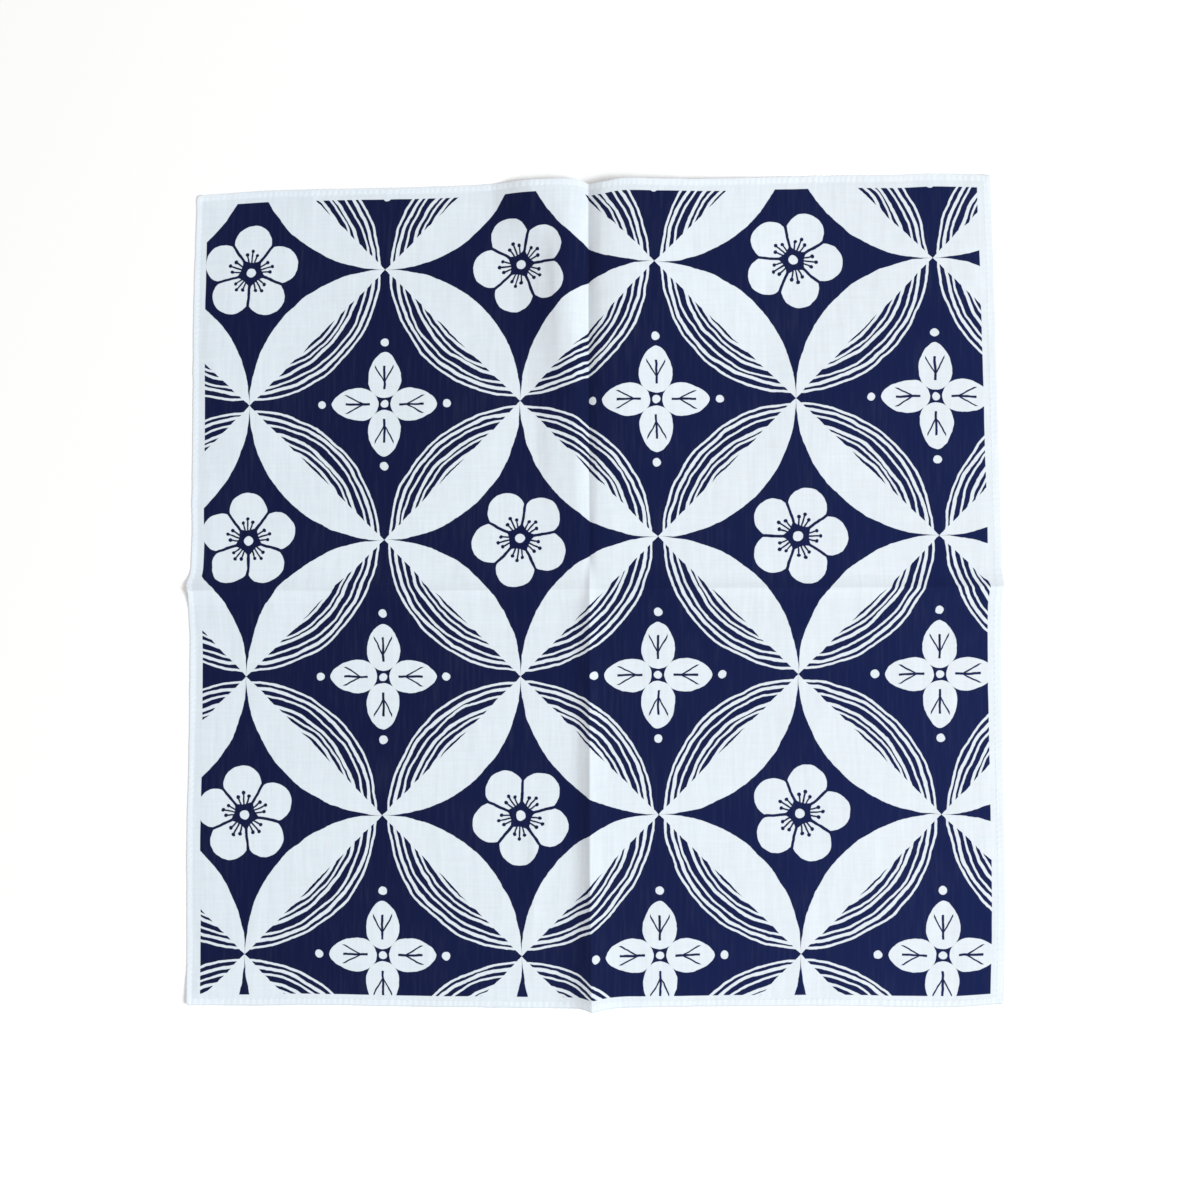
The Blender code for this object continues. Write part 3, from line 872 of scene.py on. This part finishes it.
def cotton(name, ink=1.0):
    """Fine plain weave with uneven threads, printed on the face. The ink is fainter behind."""
    mat = bpy.data.materials.new(name)
    mat.use_nodes = True
    tree = mat.node_tree
    shader = tree.nodes["Principled BSDF"]
    u, v = map_place(tree, "FlatCloth")

    # Uneven threads: long faint streaks, the upright ones stronger.
    upright = noise(tree, u / 1.9, v / 27.0, 2.0, 0.5)
    level = noise(tree, u / 24.0, v / 1.7 + 50.0, 2.0, 0.5)
    broad = noise(tree, u / 6.5 + 20.0, v / 60.0, 2.0, 0.5)
    cloud = noise(tree, u / 55.0, v / 55.0 + 11.0, 2.0, 0.5)
    blotch = noise(tree, u / 5.5, v / 8.0 + 60.0, 2.0, 0.5)
    streak = (upright - 0.5) * 0.13 + (level - 0.5) * 0.085 + (broad - 0.5) * 0.10
    streak = streak + (cloud - 0.5) * 0.06 + (blotch - 0.5) * 0.06
    grain = noise(tree, u / 0.33, v / 0.33, 1.0, 0.5)

    # The hem is three layers of cloth, so less of the table shows through it.
    from_edge = ((HALF_WIDTH - u.abs()) / (u.ramp(-9.0, 9.0) * 0.30 + 0.80)).min(HALF_LENGTH - v.abs())
    hem = 1.0 - from_edge.soft(3.8, 4.7)
    rim = 1.0 - from_edge.soft(0.1, 1.1)
    light = 1.0 + streak + hem * 0.062 + (grain - 0.5) * 0.03
    # Painted light: on the left the hem is painted 0.03 lighter and its outer millimetre 0.07 lighter, against the
    # shade of an edge that faces away from the lamp. Painted shade: along the near edge the outer millimetre is painted
    # 0.20 darker, a shadow line at the edge.
    left_side, near_side = (-u).ramp(240.0, 262.0), (-v).ramp(240.0, 264.0)
    light = light + hem * left_side * 0.03 + rim * left_side * 0.07 - rim * near_side * 0.20

    # The bleach is not quite even either: some threads lean to blue-green, some to violet.
    violet = (noise(tree, u / 3.4 + 80.0, v / 8.0, 2.0) - 0.5) * 0.055
    violet = violet + (noise(tree, u / 12.0, v / 14.0 + 90.0) - 0.5) * 0.03
    blue = (noise(tree, u / 4.0, v / 7.0 + 130.0, 2.0) - 0.5) * 0.05
    # Painted light: a slow tint across the whole cloth, bluer at the left and warmer at the right, stands in for the
    # light's colour changing across it.
    slow = u.ramp(-260.0, 260.0)
    violet, blue = violet + (slow - 0.6) * 0.02, blue + (0.45 - slow) * 0.022
    join = tree.nodes.new("ShaderNodeCombineXYZ")
    for slot, share, value in zip(join.inputs, (light + violet, light - violet * 0.3, light + blue), WHITE):
        tree.links.new((share * value).socket, slot)
    white = join.outputs[0]
    mask = print_mask(tree, u, v)
    # Ink lies a little thinner on the tops of the threads and in a few slow patches.
    thin = ((grain - 0.5) * 0.10 + (upright - 0.5) * 0.10 + (cloud - 0.5) * 0.05).max(0.0)
    share = (mask * ink * (1.0 - thin * 0.35)).clamp()
    node = tree.nodes.new("ShaderNodeMix")
    node.data_type = "RGBA"
    tree.links.new(share.socket, node.inputs["Factor"])
    a, b = [s for s in node.inputs if s.type == "RGBA"]
    tree.links.new(white, a)
    # Painted light: the navy goes lighter towards the right-hand near corner, where the lamp falls more strongly.
    across = (u - v * 0.35).ramp(-120.0, 280.0)
    tree.links.new(mix_colour(tree, across, INK_SHADED_LEFT, INK_LIT_RIGHT), b)
    tree.links.new([s for s in node.outputs if s.type == "RGBA"][0], shader.inputs["Base Color"])

    # Weave: threads over and under each other, with the same unevenness.
    pitch = 0.42
    wander = (noise(tree, u / 3.0, v / 3.0, 2.0) - 0.5) * 0.5
    wx, wy = (u + wander) * (math.pi / pitch), (v + wander) * (math.pi / pitch)
    over = wx.sin() * wy.sin()
    weave = wx.sin().abs() * over.ramp(-1.0, 1.0) + wy.sin().abs() * (-over).ramp(-1.0, 1.0)
    height = weave * 0.035 + upright * 0.05 + level * 0.035 + grain * 0.015
    bump = tree.nodes.new("ShaderNodeBump")
    bump.inputs["Strength"].default_value = 0.6
    bump.inputs["Distance"].default_value = MM
    tree.links.new(height.socket, bump.inputs["Height"])
    tree.links.new(bump.outputs[0], shader.inputs["Normal"])

    rough = 0.86 + (grain - 0.5) * 0.10 + mask * -0.05
    tree.links.new(rough.socket, shader.inputs["Roughness"])
    shader.inputs["Specular IOR Level"].default_value = 0.14
    shader.inputs["Sheen Weight"].default_value = 0.03
    shader.inputs["Sheen Roughness"].default_value = 0.5
    return mat


def thread():
    mat = bpy.data.materials.new("white_thread")
    mat.use_nodes = True
    tree = mat.node_tree
    shader = tree.nodes["Principled BSDF"]
    along, turn = map_place(tree, "ThreadRun")
    # Two plies twisted together: slanting furrows along the thread.
    twist = ((along / 0.55 + turn * 0.001) * (2 * math.pi)).sin()
    fuzz = noise(tree, along / 0.2, turn / 120.0, 2.0)
    # Painted shade: the thread is darker in the furrows between its plies and lighter on their crowns, following the
    # twist; the fuzz adds the thread's own uneven colour.
    furrow_shade_and_tone = 0.5 + twist * 0.18 + (fuzz - 0.5) * 0.5
    colour = mix_colour(tree, furrow_shade_and_tone.clamp(), (0.78, 0.83, 0.88, 1.0), (0.90, 0.94, 0.97, 1.0))
    tree.links.new(colour, shader.inputs["Base Color"])
    bump = tree.nodes.new("ShaderNodeBump")
    bump.inputs["Strength"].default_value = 0.5
    bump.inputs["Distance"].default_value = 0.06 * MM
    tree.links.new((twist * 0.5 + fuzz * 0.4).socket, bump.inputs["Height"])
    tree.links.new(bump.outputs[0], shader.inputs["Normal"])
    tree.links.new((0.7 + (fuzz - 0.5) * 0.2).socket, shader.inputs["Roughness"])
    shader.inputs["Specular IOR Level"].default_value = 0.25
    return mat


# ---- floor, light and camera -------------------------------------------------
def make_floor():
    bpy.ops.mesh.primitive_plane_add(size=40.0, location=(0, 0, -0.0002))
    floor = bpy.context.object
    floor.name = "floor"
    mat = bpy.data.materials.new("pale_floor")
    mat.use_nodes = True
    shader = mat.node_tree.nodes["Principled BSDF"]
    shader.inputs["Base Color"].default_value = (0.985, 0.985, 0.985, 1.0)
    shader.inputs["Roughness"].default_value = 0.9
    shader.inputs["Specular IOR Level"].default_value = 0.1
    # The table is lit a little from below, so that its white holds right across.
    shader.inputs["Emission Color"].default_value = (1.0, 1.0, 1.0, 1.0)
    shader.inputs["Emission Strength"].default_value = 0.075
    floor.data.materials.append(mat)


def area_light(name, place, size, watts, colour):
    data = bpy.data.lights.new(name, "AREA")
    data.shape, data.size, data.energy, data.color = "SQUARE", size, watts, colour
    ob = bpy.data.objects.new(name, data)
    ob.location = place
    direction = -np.array(place)
    from mathutils import Vector

    ob.rotation_euler = Vector(direction).to_track_quat("-Z", "Y").to_euler()
    bpy.context.scene.collection.objects.link(ob)


def make_light():
    world = bpy.data.worlds.new("surround")
    world.use_nodes = True
    back = world.node_tree.nodes["Background"]
    back.inputs["Color"].default_value = (1.0, 0.947, 0.933, 1.0)
    back.inputs["Strength"].default_value = 0.541
    bpy.context.scene.world = world
    # The window side: right, and a little towards the near edge.
    area_light("window", (3.3, -1.15, 3.0), 1.5, 168.3, (0.924, 0.995, 1.0))


def make_camera():
    data = bpy.data.cameras.new("camera")
    data.lens, data.sensor_width = 60.0, 36.0
    data.clip_end = 20.0
    ob = bpy.data.objects.new("camera", data)
    ob.location = (0.0824 - MIDDLE[0] * MM, -0.0992 - MIDDLE[1] * MM, 1.3069)
    ob.rotation_euler = tuple(math.radians(a) for a in (4.016, 3.338, -0.342))
    bpy.context.scene.collection.objects.link(ob)
    bpy.context.scene.camera = ob


# ---- put it together ---------------------------------------------------------
make_camera()
make_light()
make_floor()
view = bpy.context.scene.view_settings
view.view_transform, view.look, view.exposure, view.gamma = "Standard", "None", 0.0, 1.0

printed = cotton("printed_cotton")
behind = cotton("cotton_back", ink=0.34)
sheet = make_sheet(printed, behind)
hem = make_hem(printed)
stitches = make_stitches(thread())
for piece in (sheet, hem, stitches):
    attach(piece, "root")
for piece in (sheet, hem):
    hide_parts(NODE)
